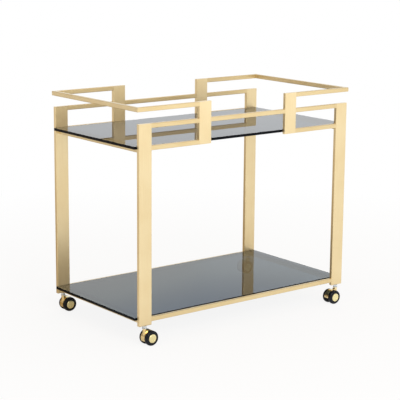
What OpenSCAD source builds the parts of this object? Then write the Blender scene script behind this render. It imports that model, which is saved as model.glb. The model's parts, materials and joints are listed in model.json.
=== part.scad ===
// Two-tier bar cart: welded flat-tube side frames, loose smoked glass shelves,
// an open key-pattern guard round the top tray, and twin-wheel hooded casters.
// X runs along the cart, Y from front to rear, Z up from the floor.
// The origin is on the floor under the middle of the cart.

/* [Overall] */
// Length over the legs
cart_l = 900; // [760:10:1100]
// Depth over the two side frames
cart_d = 504; // [400:4:600]
// Height of the legs above their lower ends
leg_h = 661; // [560:1:760]

/* [Side frames] */
// Width of the legs and stiles along the cart
leg_w = 50; // [36:1:70]
// Thickness of every tube in a side frame
tube_t = 12.5; // [11:0.5:20]
// Height of the rails
rail_h = 15; // [11:0.5:24]
// Wall of the tubes
wall = 1.5; // [1:0.1:2]
// Outside corner radius of the tubes
corner_r = 2; // [0.5:0.1:3]
// Distance from the end of the frame to the near edge of a stile
stile_in = 240; // [120:5:300]
// How far the stiles and the guard stand above the legs
guard_rise = 54; // [30:1:120]
// How far the stiles reach below the top of the legs
stile_drop = 86; // [60:1:160]
// How far the guard stands out past the end of the legs
guard_out = 5.5; // [0:0.5:20]
// Lower side rail above the end of the legs
low_rail_z = 11.5; // [6:0.5:60]
// Visible depth of the foot plug that closes a leg
foot_h = 4; // [2:0.5:8]
// Rounding of the lower edges of a foot plug
foot_r = 3; // [1:0.5:3.5]
// Depth of the foot plug inside the leg
plug_h = 22; // [12:1:40]

/* [Cross rails] */
// Width of the cross rails
cross_w = 25; // [16:1:36]
// Height of the cross rails
cross_h = 12.5; // [8:0.5:14]

/* [Glass shelves] */
// Thickness of the glass
glass_t = 9; // [6:0.5:10]
// How far the loose glass stands past the left end of the legs
glass_out_left = 8.5; // [-6:0.5:12]
// How far the loose glass stands past the right end of the legs, negative where it stops short
glass_out_right = -4.5; // [-6:0.5:12]
// Gap between the glass and a side frame
glass_gap = 1; // [0.5:0.5:5]
// Corner radius of the glass
glass_r = 3; // [1:0.5:10]
// Polished bevel on the edges of the glass
glass_bevel = 1; // [0.5:0.1:2]
// Upper glass below the top of the short lower rails
top_glass_down = 0.5; // [0:0.5:6]
// Lower glass above the top of the lower side rails
low_glass_up = 2; // [0:0.5:4]
// Diameter of a glass pad
pad_d = 9; // [6:0.5:14]
// Thickness of a glass pad
pad_t = 1; // [0.5:0.1:3]
// Distance between a pad and the end of its cross rail
pad_in = 22; // [10:1:80]

/* [Casters] */
// Height of a caster from the floor to the end of the leg
caster_h = 67; // [64:0.5:80]
// Distance from the stem to the axle
trail = 17.5; // [14:0.5:20]
// Diameter of a wheel
wheel_d = 50; // [48:1:54]
// Width of one wheel
wheel_w = 11.5; // [10:0.5:15]
// Rounding of the outer shoulder of a wheel
shoulder_r = 6; // [1:0.5:7]
// Diameter of the hood between the wheels
hood_d = 50; // [44:1:50]
// Width of the hood
hood_w = 20; // [16:0.5:24]
// Wall of the hood
hood_wall = 2; // [1.5:0.1:3]
// Diameter of the neck
neck_d = 12.5; // [11.5:0.5:14]
// Edge of the hood's opening below the axle
hood_open = 5.5; // [3:0.5:9]
// Tilt of the edge of the hood's opening, lower on the side of the stem
open_tilt = 9; // [0:1:20]
// Diameter of the stem
stem_d = 8; // [6:0.5:8]
// Width across the flats of the stem nut
nut_af = 13; // [12:0.5:16]
// Height of the stem nut
nut_h = 6.5; // [4:0.5:8]
// Diameter of the axle
axle_d = 6; // [4:0.5:7]
// Diameter of a hub cap
cap_d = 28.5; // [22:0.5:30]
// Thickness of a hub cap
cap_t = 2.4; // [1.6:0.1:3]

/* [Caster turns] */
// Turn of the front left caster
turn_front_left = 0; // [-180:1:180]
// Turn of the front right caster
turn_front_right = -1; // [-180:1:180]
// Turn of the rear left caster
turn_rear_left = -4; // [-180:1:180]
// Turn of the rear right caster
turn_rear_right = 0; // [-180:1:180]

/* [Hidden] */
$fn = 72;

// Signs of the two ends and the two sides
LEFT = -1;
RIGHT = 1;
FRONT = -1;
REAR = 1;

// Overrun of every cut past the face that it opens
over = 1;
// Clearance of the pieces that turn on each other, on the radius
run_gap = 0.05;
// Clearance of pins that are fixed in their holes, on the radius
fix_gap = 0.02;

// Heights above the floor
leg_z = caster_h;
leg_top = leg_z + leg_h;
stile_z = leg_top - stile_drop;
stile_top = leg_top + guard_rise;
lower_z = leg_z + low_rail_z;
upper_glass_z = stile_z + rail_h - top_glass_down - glass_t;
lower_glass_z = lower_z + rail_h + low_glass_up - glass_t;

// Places of the frame's pieces
frame_y = (cart_d - tube_t) / 2;
leg_x = (cart_l - leg_w) / 2;
stile_x = cart_l / 2 - stile_in - leg_w / 2;
guard_x = cart_l / 2 + guard_out;
inner_d = cart_d - 2 * tube_t;
glass_d = inner_d - 2 * glass_gap;
glass_l = cart_l + glass_out_left + glass_out_right;
glass_shift = (glass_out_right - glass_out_left) / 2;

// Foot plug inside the tube
plug_w = leg_w - 2 * wall - 2 * fix_gap;
plug_t = tube_t - 2 * wall - 2 * fix_gap;

// Caster: the stem is at X = 0, the axle lies at X = trail along Y
axle_z = wheel_d / 2;
nut_z = leg_z - nut_h;
neck_gap = 0.4;
neck_top = nut_z - neck_gap;
neck_r = neck_d / 2;
hood_r = hood_d / 2;
web_t = 4;
boss_d = 14;
fillet_r = 5;
fillet_in = 0.8;
fillet_w = neck_d - 2 * fillet_in;
column_in = 1;
column_z = axle_z - column_in
    + sqrt(max(0, pow(hood_r, 2) - pow(trail + neck_r, 2)));
stem_r = stem_d / 2;
stem_head_out = 0.7;
stem_head_r = stem_r + stem_head_out;
stem_head_t = 2.5;
head_up = 2;
head_gap = 0.3;
head_z = column_z + head_up;
stem_short = 2;
stem_top = leg_z + foot_h + plug_h - stem_short;

// Wheel and hub cap, measured along the axle from the middle of the hood
wheel_gap = 0.5;
wheel_y = hood_w / 2 + wheel_gap;
wheel_r = wheel_d / 2;
edge_r = 0.8;
rim_t = 6;
hub_r = 6;
seat_deep = 1.2;
face_t = 3;
groove_w = 2;
axle_r = axle_d / 2;
axle_head_out = 1.5;
axle_head_r = axle_r + axle_head_out;
axle_head_t = 1;
axle_play = 0.3;
cap_r = cap_d / 2;
cap_edge_t = 1.2;
cap_bevel = 2.4;
cap_ring_w = 5;
cap_field_r = cap_r - cap_ring_w;
cap_field_deep = 0.35;
seat_y = wheel_y + wheel_w - seat_deep;
axle_head_y = seat_y - axle_head_t - axle_play;

// Colours
brass = [0.87, 0.76, 0.55];
polished = [0.95, 0.80, 0.40];
smoke = [0.20, 0.22, 0.24, 0.75];
black = [0.07, 0.07, 0.08];
zinc = [0.78, 0.80, 0.82];
clear = [0.85, 0.86, 0.87];

// Rectangle with round corners, centred
module rounded(w, h, r) {
    square([w - 2 * r, h], center = true);
    square([w, h - 2 * r], center = true);
    for (x = [-1, 1], y = [-1, 1])
        translate([x * (w / 2 - r), y * (h / 2 - r)]) circle(r);
}

// Section of a hollow tube, centred
module tube_section(w, h) {
    difference() {
        rounded(w, h, corner_r);
        square([w - 2 * wall, h - 2 * wall], center = true);
    }
}

// Tube of length l along X, its section centred on the X axis
module tube_x(l, h = rail_h) {
    rotate([90, 0, 90]) linear_extrude(l) tube_section(tube_t, h);
}

// Tube of length l along Y, its section centred on the Y axis
module tube_y(l, w, h) {
    rotate([-90, 0, 0]) linear_extrude(l) tube_section(w, h);
}

// Outline of a leg or a stile, the full height of the frame
module post_outline(x, y) {
    translate([x, y, 0]) linear_extrude(stile_top + over) rounded(leg_w, tube_t, corner_r);
}

// Rail between the facing edges of two posts, with its ends ground to the posts' round corners
module rail_between(x_a, x_b, y, z) {
    from_x = x_a + leg_w / 2 - corner_r;
    to_x = x_b - leg_w / 2 + corner_r;
    difference() {
        translate([from_x, y, z + rail_h / 2]) tube_x(to_x - from_x);
        post_outline(x_a, y);
        post_outline(x_b, y);
    }
}

// Leg: a tube closed at the top, open at the foot
module leg(end, side) {
    color(brass) translate([end * leg_x, side * frame_y, leg_z + foot_h]) difference() {
        linear_extrude(leg_h - foot_h) rounded(leg_w, tube_t, corner_r);
        translate([0, 0, -over]) linear_extrude(leg_h - foot_h - wall + over)
            square([leg_w - 2 * wall, tube_t - 2 * wall], center = true);
    }
}

// Stile: a tube closed at both ends
module stile(end, side) {
    h = stile_top - stile_z;
    color(brass) translate([end * stile_x, side * frame_y, stile_z]) difference() {
        linear_extrude(h) rounded(leg_w, tube_t, corner_r);
        translate([0, 0, wall]) linear_extrude(h - 2 * wall)
            square([leg_w - 2 * wall, tube_t - 2 * wall], center = true);
    }
}

// Profile of a foot, w wide, with its lower edges rounded
module foot_profile(w) {
    translate([-w / 2, foot_r]) square([w, foot_h - foot_r]);
    translate([foot_r - w / 2, 0]) square([w - 2 * foot_r, foot_h]);
    for (x = [-1, 1]) translate([x * (w / 2 - foot_r), foot_r]) circle(foot_r);
}

// Foot plug: a rounded end that closes the leg, with a block inside it for the stem
module foot_plug() {
    difference() {
        union() {
            intersection() {
                linear_extrude(foot_h) rounded(leg_w, tube_t, corner_r);
                translate([0, tube_t / 2, 0]) rotate([90, 0, 0])
                    linear_extrude(tube_t) foot_profile(leg_w);
                translate([-leg_w / 2, 0, 0]) rotate([90, 0, 90])
                    linear_extrude(leg_w) foot_profile(tube_t);
            }
            translate([-plug_w / 2, -plug_t / 2, foot_h]) cube([plug_w, plug_t, plug_h]);
        }
        translate([0, 0, -over]) cylinder(h = foot_h + plug_h + 2 * over, r = stem_r + fix_gap);
    }
}

module foot_plugs() {
    color(brass) for (end = [LEFT, RIGHT], side = [FRONT, REAR])
        translate([end * leg_x, side * frame_y, leg_z]) foot_plug();
}

// Rail at the top of the legs, between a leg and a stile
module mid_rail(end, side) {
    a = end == LEFT ? -leg_x : stile_x;
    b = end == LEFT ? -stile_x : leg_x;
    color(brass) rail_between(a, b, side * frame_y, leg_top - rail_h);
}

// Rail at the top of the legs, between the stiles
module centre_rail(side) {
    color(brass) rail_between(-stile_x, stile_x, side * frame_y, leg_top - rail_h);
}

// Short rail beside the upper glass, between a leg and the foot of a stile
module under_rail(end, side) {
    a = end == LEFT ? -leg_x : stile_x;
    b = end == LEFT ? -stile_x : leg_x;
    color(brass) rail_between(a, b, side * frame_y, stile_z);
}

// Long rail beside the lower glass
module lower_rail(side) {
    color(brass) rail_between(-leg_x, leg_x, side * frame_y, lower_z);
}

// Plan of a guard bar of length l along X, its near end cut to a mitre on the inner side
module mitre_plan(l) {
    polygon([[0, 0], [l, 0], [l, tube_t], [tube_t, tube_t]]);
}

// Guard bar along a side, from the corner of the guard to a stile
module guard_side(end, side) {
    l = guard_x - stile_x - leg_w / 2 + corner_r;
    color(brass) difference() {
        mirror([end == RIGHT ? 1 : 0, 0, 0]) mirror([0, side == REAR ? 1 : 0, 0])
            translate([-guard_x, -cart_d / 2, stile_top - rail_h]) intersection() {
                linear_extrude(rail_h) mitre_plan(l);
                translate([0, tube_t / 2, rail_h / 2]) tube_x(l);
            }
        post_outline(end * stile_x, side * frame_y);
    }
}

// Guard bar across an end, with a mitre at both ends
module guard_end(end) {
    color(brass) mirror([end == RIGHT ? 1 : 0, 0, 0])
        translate([-guard_x, -cart_d / 2, stile_top - rail_h]) intersection() {
            linear_extrude(rail_h)
                polygon([[0, 0], [tube_t, tube_t], [tube_t, cart_d - tube_t], [0, cart_d]]);
            translate([tube_t / 2, 0, rail_h / 2]) tube_y(cart_d, tube_t, rail_h);
        }
}

// Cross rail under a glass, between the flat inner faces of two legs
module cross_rail(end, glass_z) {
    color(brass) translate([end * leg_x, -inner_d / 2, glass_z - pad_t - cross_h / 2])
        tube_y(inner_d, cross_w, cross_h);
}

// Profile of the glass, w wide, with a bevel on its four long edges
module glass_profile(w) {
    b = glass_bevel;
    polygon([
        [b - w / 2, 0], [w / 2 - b, 0], [w / 2, b], [w / 2, glass_t - b],
        [w / 2 - b, glass_t], [b - w / 2, glass_t], [-w / 2, glass_t - b], [-w / 2, b]
    ]);
}

// Sheet of glass with bevelled edges and round corners
module glass(z) {
    color(smoke) translate([glass_shift, 0, z]) intersection() {
        linear_extrude(glass_t) rounded(glass_l, glass_d, glass_r);
        translate([0, glass_d / 2, 0]) rotate([90, 0, 0])
            linear_extrude(glass_d) glass_profile(glass_l);
        translate([-glass_l / 2, 0, 0]) rotate([90, 0, 90])
            linear_extrude(glass_l) glass_profile(glass_d);
    }
}

// Pads between the cross rails and the glass
module glass_pads() {
    color(clear) for (z = [upper_glass_z, lower_glass_z], end = [LEFT, RIGHT], side = [FRONT, REAR])
        translate([end * leg_x, side * (inner_d / 2 - pad_in), z - pad_t])
            cylinder(h = pad_t, d = pad_d);
}

// Turn of a caster: the left pair trails towards +X and the right pair towards -X
function turn(end, side) =
    (end == LEFT ? 0 : 180)
    + (end == LEFT
        ? (side == FRONT ? turn_front_left : turn_rear_left)
        : (side == FRONT ? turn_front_right : turn_rear_right));

// Puts a caster piece under its leg
module at_caster(end, side) {
    translate([end * leg_x, side * frame_y, 0]) rotate([0, 0, turn(end, side)]) children();
}

// Stands a piece that is drawn round the Z axis on the axle, with its Z along Y
module on_axle() {
    translate([trail, 0, axle_z]) rotate([-90, 0, 0]) children();
}

// Stems: pins fixed in the foot plugs, with a head that holds the neck
module caster_stems() {
    color(zinc) for (end = [LEFT, RIGHT], side = [FRONT, REAR]) at_caster(end, side) {
        translate([0, 0, head_z]) cylinder(h = stem_head_t, r = stem_head_r);
        translate([0, 0, head_z]) cylinder(h = stem_top - head_z, r = stem_r);
    }
}

// Hexagon nuts that lock the stems under the feet
module stem_nuts() {
    corner_d = nut_af / cos(30);
    color(zinc) for (end = [LEFT, RIGHT], side = [FRONT, REAR]) at_caster(end, side)
        translate([0, 0, nut_z]) difference() {
            intersection() {
                cylinder(h = nut_h, d = corner_d, $fn = 6);
                union() {
                    cylinder(h = nut_h / 2, d1 = nut_af, d2 = nut_af + 2 * nut_h);
                    translate([0, 0, nut_h / 2])
                        cylinder(h = nut_h / 2, d1 = nut_af + 2 * nut_h, d2 = nut_af);
                }
            }
            translate([0, 0, -over]) cylinder(h = nut_h + 2 * over, r = stem_r + fix_gap);
        }
}

// Blend from the neck to the crown of the hood
module neck_fillet() {
    centre_x = neck_r + fillet_r;
    centre_z = axle_z + sqrt(pow(hood_r + fillet_r, 2) - pow(centre_x - trail, 2));
    translate([0, fillet_w / 2, 0]) rotate([90, 0, 0]) linear_extrude(fillet_w) difference() {
        translate([0, column_z]) square([centre_x, centre_z - column_z]);
        translate([centre_x, centre_z]) circle(fillet_r);
    }
}

// Hood: a drum with a centre web and a hub boss, open below, and a neck that turns on the stem
module hood_body() {
    difference() {
        union() {
            difference() {
                union() {
                    on_axle() translate([0, 0, -hood_w / 2]) cylinder(h = hood_w, r = hood_r);
                    neck_fillet();
                }
                for (s = [0, 1]) mirror([0, s, 0]) on_axle() translate([0, 0, web_t / 2])
                    cylinder(h = hood_w, r = hood_r - hood_wall);
                translate([trail, 0, axle_z - hood_open]) rotate([0, -open_tilt, 0])
                    translate([-hood_d, -hood_w, -hood_d]) cube([2 * hood_d, 2 * hood_w, hood_d]);
            }
            on_axle() translate([0, 0, -hood_w / 2]) cylinder(h = hood_w, d = boss_d);
            translate([0, 0, column_z]) cylinder(h = neck_top - column_z, r = neck_r);
        }
        translate([0, 0, column_z - over]) {
            cylinder(h = neck_top - column_z + 2 * over, r = stem_r + run_gap);
            cylinder(h = head_up + stem_head_t + head_gap + over, r = stem_head_r + head_gap);
        }
        on_axle() translate([0, 0, -hood_w]) cylinder(h = 2 * hood_w, r = axle_r + fix_gap);
    }
}

module hood(end, side) {
    color(polished) at_caster(end, side) hood_body();
}

// Axle: a pin through the hood, with a head outside each wheel
module axle(end, side) {
    color(zinc) at_caster(end, side) on_axle() {
        translate([0, 0, -axle_head_y]) cylinder(h = 2 * axle_head_y, r = axle_r);
        for (s = [0, 1]) mirror([0, 0, s]) translate([0, 0, axle_head_y])
            cylinder(h = axle_head_t, r = axle_head_r);
    }
}

// Half section of a wheel: X is the radius, Y runs outwards along the axle
module wheel_section() {
    out = wheel_w;
    seat = wheel_w - seat_deep;
    seat_r = cap_r + groove_w;
    difference() {
        union() {
            translate([hub_r, 0]) square([wheel_r - hub_r - edge_r, out - shoulder_r]);
            translate([hub_r, edge_r]) square([wheel_r - hub_r, out - shoulder_r - edge_r]);
            translate([hub_r, 0]) square([wheel_r - hub_r - shoulder_r, out]);
            translate([wheel_r - edge_r, edge_r]) circle(edge_r);
            translate([wheel_r - shoulder_r, out - shoulder_r]) circle(shoulder_r);
        }
        translate([hub_r, -over]) square([wheel_r - rim_t - hub_r, seat - face_t + over]);
        translate([hub_r - over, seat]) square([seat_r - hub_r + over, seat_deep + over]);
    }
    hub_end = axle_head_y - axle_play - wheel_y;
    translate([axle_r + run_gap, 0]) square([hub_r - axle_r - run_gap, hub_end]);
    head_r = axle_head_r + head_gap;
    translate([head_r, 0]) square([hub_r - head_r, seat]);
}

// Wheel on one side of the hood: side 0 lies towards +Y and side 1 towards -Y before the turn
module wheel(end, side, s) {
    color(black) at_caster(end, side) mirror([0, s, 0]) on_axle() translate([0, 0, wheel_y])
        rotate_extrude() wheel_section();
}

// Half section of a hub cap: a bevelled rim round a plain shallow field
module cap_section() {
    rim_r = cap_r - cap_bevel;
    polygon([
        [0, 0], [cap_r, 0], [cap_r, cap_edge_t], [rim_r, cap_t],
        [cap_field_r, cap_t], [cap_field_r - cap_field_deep, cap_t - cap_field_deep],
        [0, cap_t - cap_field_deep]
    ]);
}

module hub_cap(end, side, s) {
    color(polished) at_caster(end, side) mirror([0, s, 0]) on_axle()
        translate([0, 0, seat_y]) rotate_extrude() cap_section();
}

leg(LEFT, FRONT);  // leg_front_left
leg(RIGHT, FRONT);  // leg_front_right
leg(LEFT, REAR);  // leg_rear_left
leg(RIGHT, REAR);  // leg_rear_right
foot_plugs();
stile(LEFT, FRONT);  // stile_front_left
stile(RIGHT, FRONT);  // stile_front_right
stile(LEFT, REAR);  // stile_rear_left
stile(RIGHT, REAR);  // stile_rear_right
mid_rail(LEFT, FRONT);  // mid_rail_front_left
mid_rail(RIGHT, FRONT);  // mid_rail_front_right
mid_rail(LEFT, REAR);  // mid_rail_rear_left
mid_rail(RIGHT, REAR);  // mid_rail_rear_right
centre_rail(FRONT);  // centre_rail_front
centre_rail(REAR);  // centre_rail_rear
under_rail(LEFT, FRONT);  // under_rail_front_left
under_rail(RIGHT, FRONT);  // under_rail_front_right
under_rail(LEFT, REAR);  // under_rail_rear_left
under_rail(RIGHT, REAR);  // under_rail_rear_right
guard_side(LEFT, FRONT);  // guard_side_front_left
guard_side(RIGHT, FRONT);  // guard_side_front_right
guard_side(LEFT, REAR);  // guard_side_rear_left
guard_side(RIGHT, REAR);  // guard_side_rear_right
guard_end(LEFT);  // guard_end_left
guard_end(RIGHT);  // guard_end_right
lower_rail(FRONT);  // lower_rail_front
lower_rail(REAR);  // lower_rail_rear
cross_rail(LEFT, upper_glass_z);  // cross_rail_upper_left
cross_rail(RIGHT, upper_glass_z);  // cross_rail_upper_right
cross_rail(LEFT, lower_glass_z);  // cross_rail_lower_left
cross_rail(RIGHT, lower_glass_z);  // cross_rail_lower_right
glass(upper_glass_z);  // glass_upper
glass(lower_glass_z);  // glass_lower
glass_pads();
caster_stems();
stem_nuts();
hood(LEFT, FRONT);  // hood_front_left
hood(RIGHT, FRONT);  // hood_front_right
hood(LEFT, REAR);  // hood_rear_left
hood(RIGHT, REAR);  // hood_rear_right
axle(LEFT, FRONT);  // axle_front_left
axle(RIGHT, FRONT);  // axle_front_right
axle(LEFT, REAR);  // axle_rear_left
axle(RIGHT, REAR);  // axle_rear_right
wheel(LEFT, FRONT, 0);  // wheel_front_left_a
wheel(LEFT, FRONT, 1);  // wheel_front_left_b
wheel(RIGHT, FRONT, 0);  // wheel_front_right_a
wheel(RIGHT, FRONT, 1);  // wheel_front_right_b
wheel(LEFT, REAR, 0);  // wheel_rear_left_a
wheel(LEFT, REAR, 1);  // wheel_rear_left_b
wheel(RIGHT, REAR, 0);  // wheel_rear_right_a
wheel(RIGHT, REAR, 1);  // wheel_rear_right_b
hub_cap(LEFT, FRONT, 0);  // hub_cap_front_left_a
hub_cap(LEFT, FRONT, 1);  // hub_cap_front_left_b
hub_cap(RIGHT, FRONT, 0);  // hub_cap_front_right_a
hub_cap(RIGHT, FRONT, 1);  // hub_cap_front_right_b
hub_cap(LEFT, REAR, 0);  // hub_cap_rear_left_a
hub_cap(LEFT, REAR, 1);  // hub_cap_rear_left_b
hub_cap(RIGHT, REAR, 0);  // hub_cap_rear_right_a
hub_cap(RIGHT, REAR, 1);  // hub_cap_rear_right_b
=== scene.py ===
"""Looks for a bar cart: satin brass tubes, smoked glass shelves and hooded twin-wheel casters.

The cart stands on the floor with its middle over the origin, X along it and +Y to the rear.
Everything is in metres, and colours are linear.
"""
import json
import math

import bpy
from mathutils import Matrix, Vector


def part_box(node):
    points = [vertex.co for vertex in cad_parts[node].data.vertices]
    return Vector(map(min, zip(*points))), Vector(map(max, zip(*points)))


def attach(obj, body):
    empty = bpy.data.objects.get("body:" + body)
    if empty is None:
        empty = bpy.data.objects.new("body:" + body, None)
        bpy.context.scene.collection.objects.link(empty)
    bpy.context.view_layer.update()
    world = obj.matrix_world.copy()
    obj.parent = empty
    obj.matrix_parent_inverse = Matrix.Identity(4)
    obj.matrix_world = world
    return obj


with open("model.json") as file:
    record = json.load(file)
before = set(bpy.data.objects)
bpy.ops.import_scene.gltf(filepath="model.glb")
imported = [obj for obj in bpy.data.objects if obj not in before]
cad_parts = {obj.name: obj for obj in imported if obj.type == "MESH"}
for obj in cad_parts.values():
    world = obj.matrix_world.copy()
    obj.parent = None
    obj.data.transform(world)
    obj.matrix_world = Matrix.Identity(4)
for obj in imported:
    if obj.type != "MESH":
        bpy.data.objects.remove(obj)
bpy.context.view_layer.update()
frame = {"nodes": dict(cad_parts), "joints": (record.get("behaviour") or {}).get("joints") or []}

# Camera: where the photograph was taken from, and how it looks at the cart
CAMERA_PLACE = Vector((-2.859, -3.645, 1.3637))
CAMERA_AZIMUTH = math.radians(38.03)
CAMERA_DOWN = math.radians(11.88)
CAMERA_ROLL = math.radians(0.46)
IMAGE_PX = 400
FOCAL_PX = 1342.6
SENSOR_MM = 36.0
CLIP_END = 100.0

WHITE = (1.0, 1.0, 1.0)

# Colours of a material come in pairs, which its clouds and marks go between
# Satin brass: painted light and shade, one brass in three shades for how light falls on the
# tubes.
# The tubes across the cart are painted palest, and those along it deepest.
BRASS_ACROSS_PAINTED_PALE = ((0.91, 0.75, 0.445), (0.95, 0.81, 0.51))
BRASS_UPRIGHT_PAINTED_MID = ((0.89, 0.71, 0.395), (0.94, 0.775, 0.46))
BRASS_ALONG_PAINTED_DEEP = ((0.82, 0.64, 0.335), (0.88, 0.71, 0.395))
BRASS_METALLIC = 0.82
BRASS_ANISOTROPY = 0.3
LACQUER = 0.5
LACQUER_ROUGHNESS = 0.15
ROUGHNESS_UPRIGHT = 0.31
ROUGHNESS_LYING = 0.34
ROUGHNESS_SPREAD = 0.12

# Brushed streaks, in waves per metre across the grain and along it
STREAKS_FINE = (2600.0, 30.0)
STREAKS_COARSE = (1000.0, 9.0)

# Axes of the grain, and their names for the Tangent node
GRAIN_X, GRAIN_Y, GRAIN_Z = 0, 1, 2
GRAIN_NAMES = "XYZ"

# Casters
POLISHED = ((0.97, 0.74, 0.34), (0.99, 0.82, 0.46))
POLISHED_ROUGHNESS = (0.10, 0.22)
TURNED = ((0.98, 0.86, 0.42), (0.99, 0.90, 0.50))
TURNED_METALLIC = 0.8
TURNED_ROUGHNESS = (0.24, 0.34)
TURNED_RINGS = 12000.0
ZINC = ((0.64, 0.70, 0.74), (0.86, 0.91, 0.95))
ZINC_ROUGHNESS = (0.20, 0.38)
BLACK = ((0.004, 0.006, 0.012), (0.009, 0.012, 0.020))
BLACK_SPECULAR = 0.25
BLACK_ROUGHNESS = (0.16, 0.30)

# Bearing ring of a caster: its outline as (radius, height from the top of the neck)
RING_PROFILE = (
    (0.0062, -0.0001), (0.0062, -0.0028), (0.0074, -0.0028),
    (0.0078, -0.0024), (0.0078, -0.0016), (0.0075, -0.0014),
    (0.0078, -0.0012), (0.0078, -0.0005), (0.0074, -0.0001),
)
RING_STEPS = 48

# Glass, its dark ends and its pads
SMOKE = (0.15, 0.31, 0.42)
SMOKE_DENSITY = 300.0
GLASS_IOR = 1.55
GLASS_SPECULAR = 0.5
SMEAR_ROUGHNESS = (0.0, 0.03)
EDGE_DARK = (0.004, 0.005, 0.008)
EDGE_WIDTH = 0.0018
EDGE_SPECULAR = 0.06
EDGE_ROUGHNESS = 0.2
CLEAR = ((0.80, 0.81, 0.82), (0.90, 0.91, 0.92))
CLEAR_IOR = 1.45
CLEAR_TRANSMISSION = 0.6
CLEAR_ROUGHNESS = (0.25, 0.4)

# Studio: a bright backdrop behind the cart and to its right, and a darker and warmer room to its
# left and overhead. The stops are (how far a direction points to the bright side, light).
BACKDROP_SIDE = (0.9, 0.4, -0.5)
BACKDROP_LIGHT = (
    (-1.0, (0.42, 0.35, 0.28)),
    (-0.3, (0.42, 0.35, 0.28)),
    (0.05, (0.56, 0.44, 0.31)),
    (0.5, (0.90, 0.92, 0.94)),
    (0.62, (0.98, 0.99, 1.0)),
)

# Blue band across the backdrop, which metal and glass alone mirror: (height, tint). It lies
# higher to the left of the middle.
BACKDROP_BAND = (
    (0.24, WHITE),
    (0.256, (0.97, 1.0, 1.0)),
    (0.284, (0.72, 0.81, 0.93)),
    (0.33, (0.72, 0.81, 0.93)),
    (0.42, (0.97, 0.99, 1.0)),
)
BAND_RIGHT = (0.788, -0.616, 0.0)
BAND_RISE = 0.28

# Share of the studio's light that falls on surfaces that scatter it
DIFFUSE_LEVEL = 0.90

# Floor: a real surface near the cart, which keeps its shadow, and plain light far away. Metal
# and glass show that light as dark on one side: a painted shadow, dark and warm behind the cart
# and darker nearer to it, and painted light, white, in front of it: (how far a place lies to the
# dark side, light).
FLOOR_HALF = 30.0
FLOOR_COLOUR = ((0.94, 0.92, 0.89), (0.95, 0.93, 0.90))
FLOOR_ROUGHNESS = 0.5
FLOOR_NEAR = 0.5
FLOOR_FAR = 2.2
FLOOR_PAINTED_SHADE_SIDE = (-0.208, 0.978, 0.0)
FLOOR_PAINTED_SHADE_NEAR = 2.2
FLOOR_PAINTED_SHADE_FADE = 0.12
FLOOR_PAINTED_ACROSS = 2.2
FLOOR_PAINTED_LIGHT = (
    (-1.0, WHITE),
    (-0.85, (0.96, 0.96, 0.96)),
    (0.3, (0.88, 0.84, 0.79)),
    (0.7, (0.74, 0.65, 0.54)),
    (0.92, (0.34, 0.24, 0.13)),
)

# Share of the real surface that the camera sees, where the shadow lies
FLOOR_SEEN = 0.12

# Lamps: name, place, size and power in watts
LAMPS = (
    ("key", (-0.9, -3.3, 2.1), 2.2, 52.0),
    ("fill", (-3.4, 0.4, 1.6), 2.2, 10.0),
    ("top", (0.2, 0.2, 3.2), 2.6, 16.0),
    ("side", (1.15, -2.1, 1.0), 1.2, 2.4),
)
LAMP_TARGET = Vector((0.0, 0.0, 0.4))


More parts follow.
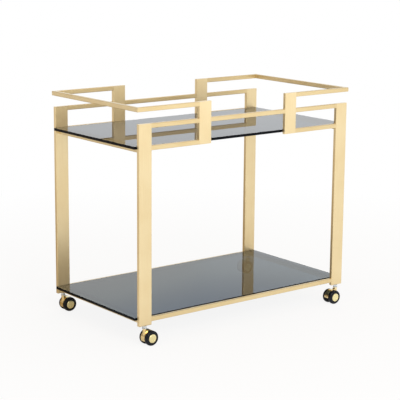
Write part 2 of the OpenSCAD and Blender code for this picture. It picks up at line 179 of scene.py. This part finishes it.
class Nodes:
    """Builds the node tree of a material or of the world."""

    def __init__(self, owner):
        owner.use_nodes = True
        self.tree = owner.node_tree
        self.tree.nodes.clear()

    def put(self, socket, value):
        """Links another node's output to a socket, or sets its value."""
        if isinstance(value, bpy.types.NodeSocket):
            self.tree.links.new(value, socket)
        elif isinstance(value, tuple) and socket.type == "RGBA":
            socket.default_value = (*value, 1.0)
        else:
            socket.default_value = value

    def add(self, kind, **inputs):
        """New node, with its inputs by name: an underscore stands for a space."""
        node = self.tree.nodes.new(kind)
        for name, value in inputs.items():
            self.put(node.inputs[name.replace("_", " ")], value)
        return node

    def math(self, operation, *values):
        node = self.tree.nodes.new("ShaderNodeMath")
        node.operation = operation
        for socket, value in zip(node.inputs, values):
            self.put(socket, value)
        return node.outputs[0]

    def vector(self, operation, first, second=None):
        """Vector operation, as a number where the operation gives one."""
        node = self.tree.nodes.new("ShaderNodeVectorMath")
        node.operation = operation
        self.put(node.inputs[0], first)
        if second is not None:
            self.put(node.inputs[1], second)
        return node.outputs["Value" if operation in ("LENGTH", "DOT_PRODUCT") else "Vector"]

    def ramp(self, factor, colours, low_at=0.0, high_at=1.0):
        """Colour between a pair of colours, as the factor goes from low_at to high_at."""
        node = self.add("ShaderNodeValToRGB", Fac=factor)
        for stop, colour, at in zip(node.color_ramp.elements, colours, (low_at, high_at)):
            stop.color = (*colour, 1.0)
            stop.position = at
        return node.outputs["Color"]

    def stops(self, factor, stops):
        """Colour that goes through stops of (at, colour), where at may be from -1 to 1."""
        node = self.add("ShaderNodeValToRGB", Fac=self.span(factor, 0.0, 1.0, -1.0, 1.0))
        elements = node.color_ramp.elements
        while len(elements) < len(stops):
            elements.new(0.5)
        for element, (at, _) in zip(elements, stops):
            element.position = (at + 1.0) / 2.0
        for element, (_, colour) in zip(elements, stops):
            element.color = (*colour, 1.0)
        return node.outputs["Color"]

    def span(self, factor, low, high, low_at=0.0, high_at=1.0):
        """Number between low and high, as the factor goes from low_at to high_at."""
        node = self.add("ShaderNodeMapRange", Value=factor)
        limits = {"From Min": low_at, "From Max": high_at, "To Min": low, "To Max": high}
        for name, value in limits.items():
            node.inputs[name].default_value = value
        return node.outputs["Result"]

    def mix(self, factor, first, second):
        """Colour that goes from the first to the second as the factor goes from 0 to 1."""
        node = self.tree.nodes.new("ShaderNodeMix")
        node.data_type = "RGBA"
        colours = [socket for socket in node.inputs if socket.type == "RGBA"]
        self.put(node.inputs["Factor"], factor)
        self.put(colours[0], first)
        self.put(colours[1], second)
        return next(socket for socket in node.outputs if socket.type == "RGBA")

    def place(self, stretch=(1.0, 1.0, 1.0)):
        """Object coordinates, stretched."""
        where = self.add("ShaderNodeTexCoord").outputs["Object"]
        return self.vector("MULTIPLY", where, stretch)

    def noise(self, vector, scale, detail=3.0):
        node = self.add("ShaderNodeTexNoise", Vector=vector, Scale=scale, Detail=detail)
        return node.outputs["Fac"]

    def bump(self, height, strength, distance):
        node = self.add("ShaderNodeBump", Height=height, Strength=strength, Distance=distance)
        return node.outputs["Normal"]

    def finish(self, surface, volume=None):
        out = self.add("ShaderNodeOutputMaterial", Surface=surface)
        if volume is not None:
            self.put(out.inputs["Volume"], volume)


def satin_brass(name, grain, colours, smooth):
    """Lacquered brass brushed along the axis of its grain."""
    material = bpy.data.materials.new(name)
    n = Nodes(material)

    def streaks(across, along):
        stretch = [across] * 3
        stretch[grain] = along
        return n.noise(n.place(tuple(stretch)), scale=1.0, detail=4.0)

    fine = streaks(*STREAKS_FINE)
    coarse = streaks(*STREAKS_COARSE)
    cloud = n.noise(n.place(), scale=9.0, detail=2.0)
    tone = n.math("MULTIPLY_ADD", coarse, 0.5, n.math("MULTIPLY", cloud, 0.5))
    shader = n.add("ShaderNodeBsdfPrincipled", Metallic=BRASS_METALLIC,
                   Anisotropic=BRASS_ANISOTROPY, Coat_Weight=LACQUER,
                   Coat_Roughness=LACQUER_ROUGHNESS)
    n.put(shader.inputs["Base Color"], n.ramp(tone, colours, low_at=0.4, high_at=0.6))
    n.put(shader.inputs["Roughness"], n.span(fine, smooth, smooth + ROUGHNESS_SPREAD))
    n.put(shader.inputs["Normal"], n.bump(fine, strength=0.12, distance=0.0002))
    tangent = n.add("ShaderNodeTangent")
    tangent.direction_type = "RADIAL"
    tangent.axis = GRAIN_NAMES[grain]
    n.put(shader.inputs["Tangent"], tangent.outputs["Tangent"])
    n.finish(shader.outputs["BSDF"])
    return material


def polished_brass(name):
    """Plated brass of the caster hoods, with faint polishing marks."""
    material = bpy.data.materials.new(name)
    n = Nodes(material)
    marks = n.noise(n.place(), scale=900.0)
    cloud = n.noise(n.place(), scale=70.0, detail=2.0)
    shader = n.add("ShaderNodeBsdfPrincipled", Metallic=1.0)
    n.put(shader.inputs["Base Color"], n.ramp(cloud, POLISHED, low_at=0.2, high_at=0.6))
    n.put(shader.inputs["Roughness"], n.span(marks, *POLISHED_ROUGHNESS))
    n.put(shader.inputs["Normal"], n.bump(marks, strength=0.05, distance=0.0001))
    n.finish(shader.outputs["BSDF"])
    return material


def turned_brass(name, centre, axis):
    """Brass of a hub cap, turned in fine rings round its axle."""
    material = bpy.data.materials.new(name)
    n = Nodes(material)
    away = n.vector("SUBTRACT", n.add("ShaderNodeTexCoord").outputs["Object"], centre)
    radius = n.vector("LENGTH", n.vector("CROSS_PRODUCT", away, axis))
    rings = n.math("SINE", n.math("MULTIPLY", radius, TURNED_RINGS))
    cloud = n.noise(n.place(), scale=120.0, detail=2.0)
    shader = n.add("ShaderNodeBsdfPrincipled", Metallic=TURNED_METALLIC)
    n.put(shader.inputs["Base Color"], n.ramp(cloud, TURNED, low_at=0.1, high_at=0.5))
    n.put(shader.inputs["Roughness"], n.span(cloud, *TURNED_ROUGHNESS))
    n.put(shader.inputs["Normal"], n.bump(rings, strength=0.08, distance=0.00005))
    n.finish(shader.outputs["BSDF"])
    return material


def zinc(name):
    """Zinc plate of axles, stems, nuts and bearing rings."""
    material = bpy.data.materials.new(name)
    n = Nodes(material)
    marks = n.noise(n.place(), scale=400.0, detail=4.0)
    shader = n.add("ShaderNodeBsdfPrincipled", Metallic=1.0)
    n.put(shader.inputs["Base Color"], n.ramp(marks, ZINC, low_at=0.3, high_at=0.6))
    n.put(shader.inputs["Roughness"], n.span(marks, *ZINC_ROUGHNESS))
    n.put(shader.inputs["Normal"], n.bump(marks, strength=0.1, distance=0.0001))
    n.finish(shader.outputs["BSDF"])
    return material


def tread(name):
    """Black tyre, smooth with a fine moulded grain and faint scuffs."""
    material = bpy.data.materials.new(name)
    n = Nodes(material)
    grain = n.noise(n.place(), scale=1500.0)
    scuffs = n.noise(n.place(), scale=120.0, detail=4.0)
    shader = n.add("ShaderNodeBsdfPrincipled", Metallic=0.0, Specular_IOR_Level=BLACK_SPECULAR)
    n.put(shader.inputs["Base Color"], n.ramp(scuffs, BLACK, low_at=0.4, high_at=0.75))
    n.put(shader.inputs["Roughness"], n.span(scuffs, *BLACK_ROUGHNESS))
    n.put(shader.inputs["Normal"], n.bump(grain, strength=0.1, distance=0.0001))
    n.finish(shader.outputs["BSDF"])
    return material


def smoked_glass(name, low, high):
    """Blue-grey glass that darkens with the way that light goes through it, with dark ends.

    low and high are the corners of the pane's box. Within the edges' width of its four sides the
    glass is black.
    """
    material = bpy.data.materials.new(name)
    n = Nodes(material)
    middle = tuple((a + b) / 2 for a, b in zip(low, high))
    away = n.vector("ABSOLUTE", n.vector("SUBTRACT", n.place(), middle))
    parts = n.add("ShaderNodeSeparateXYZ", Vector=away)
    near = [n.math("GREATER_THAN", parts.outputs[axis], high[axis] - middle[axis] - EDGE_WIDTH)
            for axis in (0, 1)]
    edge = n.math("MAXIMUM", *near)
    smears = n.noise(n.place(), scale=6.0, detail=5.0)
    smooth = n.span(smears, *SMEAR_ROUGHNESS, low_at=0.45, high_at=0.9)
    shader = n.add("ShaderNodeBsdfPrincipled", Metallic=0.0, IOR=GLASS_IOR)
    n.put(shader.inputs["Base Color"], n.mix(edge, WHITE, EDGE_DARK))
    n.put(shader.inputs["Transmission Weight"], n.math("SUBTRACT", 1.0, edge))
    n.put(shader.inputs["Specular IOR Level"], n.span(edge, GLASS_SPECULAR, EDGE_SPECULAR))
    n.put(shader.inputs["Roughness"], n.math("MULTIPLY_ADD", edge, EDGE_ROUGHNESS, smooth))
    absorb = n.add("ShaderNodeVolumeAbsorption", Color=SMOKE, Density=SMOKE_DENSITY)
    n.finish(shader.outputs["BSDF"], absorb.outputs["Volume"])
    return material


def clear_pad(name):
    """Clear soft plastic of the pads under the glass."""
    material = bpy.data.materials.new(name)
    n = Nodes(material)
    grain = n.noise(n.place(), scale=800.0, detail=2.0)
    shader = n.add("ShaderNodeBsdfPrincipled", IOR=CLEAR_IOR,
                   Transmission_Weight=CLEAR_TRANSMISSION)
    n.put(shader.inputs["Base Color"], n.ramp(grain, CLEAR, low_at=0.3, high_at=0.7))
    n.put(shader.inputs["Roughness"], n.span(grain, *CLEAR_ROUGHNESS))
    n.finish(shader.outputs["BSDF"])
    return material


def studio_light(n, side, stops):
    """Colour and strength of the studio's light by its stops, and what the camera sees of it.

    What the camera sees is white, and the light that falls on the object is a little softer than
    what metal and glass show.
    """
    path = n.add("ShaderNodeLightPath")
    seen = path.outputs["Is Camera Ray"]
    colour = n.mix(seen, n.stops(side, stops), WHITE)
    shown = n.math("MAXIMUM", path.outputs["Is Glossy Ray"], path.outputs["Is Transmission Ray"])
    return colour, n.span(n.math("MAXIMUM", shown, seen), DIFFUSE_LEVEL, 1.0), seen


def make_world():
    world = bpy.data.worlds.new("studio")
    bpy.context.scene.world = world
    n = Nodes(world)
    direction = n.add("ShaderNodeTexCoord").outputs["Generated"]
    side = n.vector("DOT_PRODUCT", direction, BACKDROP_SIDE)
    colour, strength, _ = studio_light(n, side, BACKDROP_LIGHT)
    left = n.math("MINIMUM", n.vector("DOT_PRODUCT", direction, BAND_RIGHT), 0.0)
    up = n.add("ShaderNodeSeparateXYZ", Vector=direction).outputs["Z"]
    height = n.math("MULTIPLY_ADD", left, BAND_RISE, up)
    glossy = n.add("ShaderNodeLightPath").outputs["Is Glossy Ray"]
    colour = n.vector("MULTIPLY", colour, n.mix(glossy, WHITE, n.stops(height, BACKDROP_BAND)))
    back = n.add("ShaderNodeBackground", Color=colour, Strength=strength)
    n.add("ShaderNodeOutputWorld", Surface=back.outputs["Background"])


def make_floor():
    mesh = bpy.data.meshes.new("floor")
    h = FLOOR_HALF
    corners = [(-h, -h, 0), (h, -h, 0), (h, h, 0), (-h, h, 0)]
    mesh.from_pydata(corners, [], [(0, 1, 2, 3)])
    floor = bpy.data.objects.new("floor", mesh)
    bpy.context.scene.collection.objects.link(floor)

    material = bpy.data.materials.new("floor_white_painted_shade")
    mesh.materials.append(material)
    n = Nodes(material)
    where = n.place()
    mottle = n.noise(where, scale=14.0)
    matte = n.add("ShaderNodeBsdfDiffuse", Color=n.ramp(mottle, FLOOR_COLOUR),
                  Roughness=FLOOR_ROUGHNESS)
    distance = n.vector("LENGTH", where)
    # Painted shadow and light: the glow that metal and glass see is dark behind the cart and
    # white in front
    behind = n.vector("DOT_PRODUCT", where, FLOOR_PAINTED_SHADE_SIDE)
    fade = n.math("MULTIPLY", n.math("SUBTRACT", distance, FLOOR_PAINTED_SHADE_NEAR), FLOOR_PAINTED_SHADE_FADE)
    side = n.math("SUBTRACT", n.math("DIVIDE", behind, distance), fade)
    colour, strength, seen = studio_light(n, side, FLOOR_PAINTED_LIGHT)
    plain = n.add("ShaderNodeEmission", Color=colour, Strength=strength)
    far = n.span(distance, 0.0, 1.0, FLOOR_NEAR, FLOOR_FAR)
    across = n.math("MULTIPLY", n.math("ABSOLUTE", behind), FLOOR_PAINTED_ACROSS)
    shown = n.math("MULTIPLY", n.math("SUBTRACT", 1.0, seen), across)
    near = n.math("SUBTRACT", 1.0, n.math("MINIMUM", n.math("MAXIMUM", far, shown), 1.0))
    real = n.math("MULTIPLY", near, n.span(seen, 1.0, FLOOR_SEEN))
    mix = n.add("ShaderNodeMixShader", Fac=real)
    n.put(mix.inputs[1], plain.outputs["Emission"])
    n.put(mix.inputs[2], matte.outputs["BSDF"])
    n.finish(mix.outputs["Shader"])


def make_camera():
    look = Vector((math.sin(CAMERA_AZIMUTH) * math.cos(CAMERA_DOWN),
                   math.cos(CAMERA_AZIMUTH) * math.cos(CAMERA_DOWN),
                   -math.sin(CAMERA_DOWN)))
    data = bpy.data.cameras.new("camera")
    data.sensor_fit = "HORIZONTAL"
    data.sensor_width = SENSOR_MM
    data.lens = SENSOR_MM * FOCAL_PX / IMAGE_PX
    data.clip_end = CLIP_END
    camera = bpy.data.objects.new("camera", data)
    bpy.context.scene.collection.objects.link(camera)
    level = look.cross(Vector((0, 0, 1))).normalized()
    upright = level.cross(look)
    right = level * math.cos(CAMERA_ROLL) + upright * math.sin(CAMERA_ROLL)
    up = upright * math.cos(CAMERA_ROLL) - level * math.sin(CAMERA_ROLL)
    turn = Matrix((right, up, -look)).transposed()
    camera.matrix_world = Matrix.Translation(CAMERA_PLACE) @ turn.to_4x4()
    bpy.context.scene.camera = camera


def make_lamp(name, place, size, power):
    data = bpy.data.lights.new(name, "AREA")
    data.shape = "SQUARE"
    data.size = size
    data.energy = power
    lamp = bpy.data.objects.new(name, data)
    bpy.context.scene.collection.objects.link(lamp)
    lamp.location = place
    lamp.rotation_euler = (LAMP_TARGET - Vector(place)).to_track_quat("-Z", "Y").to_euler()


def make_ring(joint, material):
    """Bearing ring round the top of a caster's neck, turned with a seam round its middle."""
    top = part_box(joint["child"].replace("caster", "hood"))[1][2]
    stem_x, stem_y = joint["pos_m"][0], joint["pos_m"][1]
    turns = [math.tau * i / RING_STEPS for i in range(RING_STEPS)]
    points = [(stem_x + radius * math.cos(turn), stem_y + radius * math.sin(turn), top + height)
              for turn in turns for radius, height in RING_PROFILE]
    count = len(RING_PROFILE)
    faces = []
    for i in range(RING_STEPS):
        this, other = i * count, (i + 1) % RING_STEPS * count
        for j in range(count):
            k = (j + 1) % count
            faces.append((this + j, other + j, other + k, this + k))
    name = "bearing_ring" + joint["name"][len("swivel"):]
    mesh = bpy.data.meshes.new(name)
    mesh.from_pydata(points, [], faces)
    mesh.materials.append(material)
    ring = bpy.data.objects.new(name, mesh)
    bpy.context.scene.collection.objects.link(ring)
    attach(ring, joint["child"])


def dress(starts, material):
    """Gives a material to each CAD node whose name begins with one of the starts."""
    for name, node in frame["nodes"].items():
        if name.startswith(starts):
            for slot in node.material_slots:
                slot.material = material


# Painted light and shade: each set of tubes gets its own shade of the one brass.
dress(("mid_rail", "centre_rail", "under_rail", "guard_side", "lower_rail"),
      satin_brass("brass_along_x_painted_deep", GRAIN_X, BRASS_ALONG_PAINTED_DEEP, ROUGHNESS_LYING))
dress(("guard_end", "cross_rail"),
      satin_brass("brass_along_y_painted_pale", GRAIN_Y, BRASS_ACROSS_PAINTED_PALE, ROUGHNESS_LYING))
dress(("leg_", "stile_", "foot_plugs"),
      satin_brass("brass_upright_painted_mid", GRAIN_Z, BRASS_UPRIGHT_PAINTED_MID, ROUGHNESS_UPRIGHT))
for pane in ("glass_upper", "glass_lower"):
    dress((pane,), smoked_glass("smoked_" + pane, *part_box(pane)))
dress(("glass_pads",), clear_pad("clear_plastic"))
dress(("hood_",), polished_brass("hood_brass"))
plate = zinc("zinc_plate")
dress(("axle_", "caster_stems", "stem_nuts"), plate)
dress(("wheel_",), tread("black_tread"))
for joint in frame["joints"]:
    if joint["name"].startswith("roll_"):
        cap = "hub_cap_" + joint["name"][len("roll_"):]
        dress((cap,), turned_brass("turned_" + cap, tuple(joint["pos_m"]), tuple(joint["axis"])))
    else:
        make_ring(joint, plate)

make_world()
make_floor()
make_camera()
for lamp in LAMPS:
    make_lamp(*lamp)
bpy.context.scene.view_settings.view_transform = "Standard"
